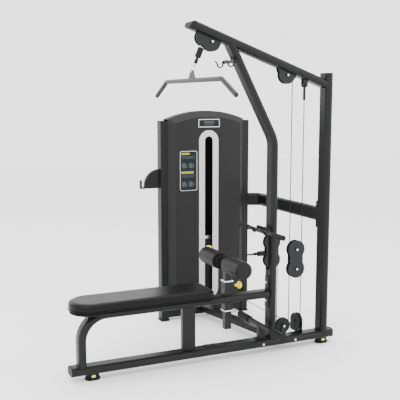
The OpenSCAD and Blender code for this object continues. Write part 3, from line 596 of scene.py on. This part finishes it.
def wheel_screws():
    """Bright bolt ends at the axles that show."""
    ends = {"boom_front_spin": "frame", "boom_rear_spin": "frame", "block_upper_spin": "block",
            "block_lower_spin": "block", "base_front_spin": "frame"}
    for joint, body in ends.items():
        x, y, z = joints[joint]["pos_m"]
        for side in (-1, 1):
            cap_screw(f"{joint}_{'near' if side < 0 else 'far'}", (x, y + side * 0.0258, z), (0, side, 0),
                      0.0082, 0.004, body, bright_metal)


wheel_screws()


def roller_ends():
    """A raised rim and a round plug on each roller cap, turned about the axle."""
    low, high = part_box("roller_caps")
    x, z = (low.x + high.x) / 2, (low.z + high.z) / 2
    rim = [(-0.002, 0.0365), (0.0012, 0.0350), (0.0016, 0.0325), (0.0010, 0.0300), (-0.0004, 0.0285),
           (-0.0004, 0.0170), (0.0010, 0.0160), (0.0014, 0.0120), (0.0015, 0.0004)]
    for side, y in ((-1, low.y), (1, high.y)):
        verts, faces = lathe(rim, (x, y, z), (0, side, 0), 48)
        piece(f"roller_end_{'near' if side < 0 else 'far'}", verts, faces, nylon, "knee_pad")


roller_ends()


def weld(name, path, r, body="frame"):
    """A weld bead: a swept round with a gentle ripple along it."""
    path = np.asarray(path, float)
    steps = np.concatenate([[0], np.cumsum(np.linalg.norm(np.diff(path, axis=0), axis=1))])
    fine = np.linspace(0, steps[-1], max(24, int(steps[-1] / 0.0025)))
    points = np.stack([np.interp(fine, steps, path[:, k]) for k in range(3)], -1)
    verts, faces = tube(points, r * (1 + 0.12 * np.sin(fine * 2400)), 10)
    piece(name, verts, faces, frame_paint, body)


def racetrack(w, h, steps=20):
    """Outline of a flat section with round ends, long side first."""
    flat = (w - h) / 2
    turns = np.linspace(-math.pi / 2, math.pi / 2, steps)
    right = [(flat + h / 2 * math.cos(a), h / 2 * math.sin(a)) for a in turns]
    left = [(-flat - h / 2 * math.cos(a), -h / 2 * math.sin(a)) for a in turns]
    return right + left + right[:1]


def rail_surface(y):
    """Height of the base rail's top above the floor at a distance across it."""
    low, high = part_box("base_rail")
    half_h, mid = (high.z - low.z) / 2, (high.z + low.z) / 2
    flat = (high.y - low.y) / 2 - half_h
    across = abs(y - (high.y + low.y) / 2) - flat
    return mid + (half_h if across <= 0 else math.sqrt(max(0.0, half_h ** 2 - across ** 2)))


def foot_welds():
    """Weld beads where the bench leg and the two uprights stand on the rail."""
    base_low, base_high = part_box("base_rail")
    y = (base_low.y + base_high.y) / 2
    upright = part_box("main_upright")
    stands = {"leg": (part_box("bench_tube")[0].x + 0.025, 0.050), "upright": (upright[1].x - 0.025, 0.050),
              "rear": ((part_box("rear_upright")[0].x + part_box("rear_upright")[1].x) / 2, 0.057)}
    for name, (x, thick) in stands.items():
        wide = 0.106 if name == "rear" else 0.098
        around = racetrack(wide + 0.002, thick + 0.002)
        path = [(x + b, y + a, rail_surface(y + a) + 0.0006) for a, b in around]
        weld(f"weld_{name}", path, 0.0024)


foot_welds()


# ---- camera, floor and light ----------------------------------------------------------

camera_data = bpy.data.cameras.new("camera")
camera = bpy.data.objects.new("camera", camera_data)
bpy.context.scene.collection.objects.link(camera)
right = Vector((0.9092, -0.4163, 0.0)).normalized()
ahead = Vector((0.4124, 0.9008, -0.1357)).normalized()
over = right.cross(ahead)
turned = Matrix((right, over, -ahead)).transposed().to_4x4()
turned.translation = Vector((-1.975, -4.3627, 1.687))
camera.matrix_world = turned
camera_data.sensor_width, camera_data.lens = 36.0, 65.52
camera_data.clip_end = 60.0
bpy.context.scene.camera = camera

floor_mesh = bpy.data.meshes.new("floor")
floor_mesh.from_pydata([(-14, -14, 0), (14, -14, 0), (14, 14, 0), (-14, 14, 0)], [], [(0, 1, 2, 3)])
floor = bpy.data.objects.new("floor", floor_mesh)
bpy.context.scene.collection.objects.link(floor)
pale = Finish("pale_floor", Roughness=0.85)
pale.tone((0.93, 0.93, 0.93), (0.96, 0.96, 0.96), pale.noise(1.3))
floor_mesh.materials.append(pale.material)


def area(name, place, target, size, power, colour=(1, 1, 1)):
    """A square soft light that looks at a point."""
    data = bpy.data.lights.new(name, "AREA")
    data.shape, data.size, data.energy, data.color = "SQUARE", size, power, colour
    lamp = bpy.data.objects.new(name, data)
    bpy.context.scene.collection.objects.link(lamp)
    lamp.location = place
    lamp.rotation_euler = (Vector(target) - Vector(place)).to_track_quat("-Z", "Y").to_euler()


area("key", (-3.4, -3.2, 4.2), (0, 0, 0.8), 2.6, 170)
area("fill", (3.6, -3.4, 2.4), (0.2, 0, 0.9), 3.0, 60)
area("top", (0.2, 0.4, 4.6), (0, 0, 0.6), 3.4, 70)
area("rim", (-2.6, 4.2, 3.0), (0, 0, 1.0), 2.4, 50)
world = bpy.data.worlds.new("studio")
world.use_nodes = True
world.node_tree.nodes["Background"].inputs[0].default_value = (1, 1, 1, 1)
world.node_tree.nodes["Background"].inputs[1].default_value = 2.6
bpy.context.scene.world = world
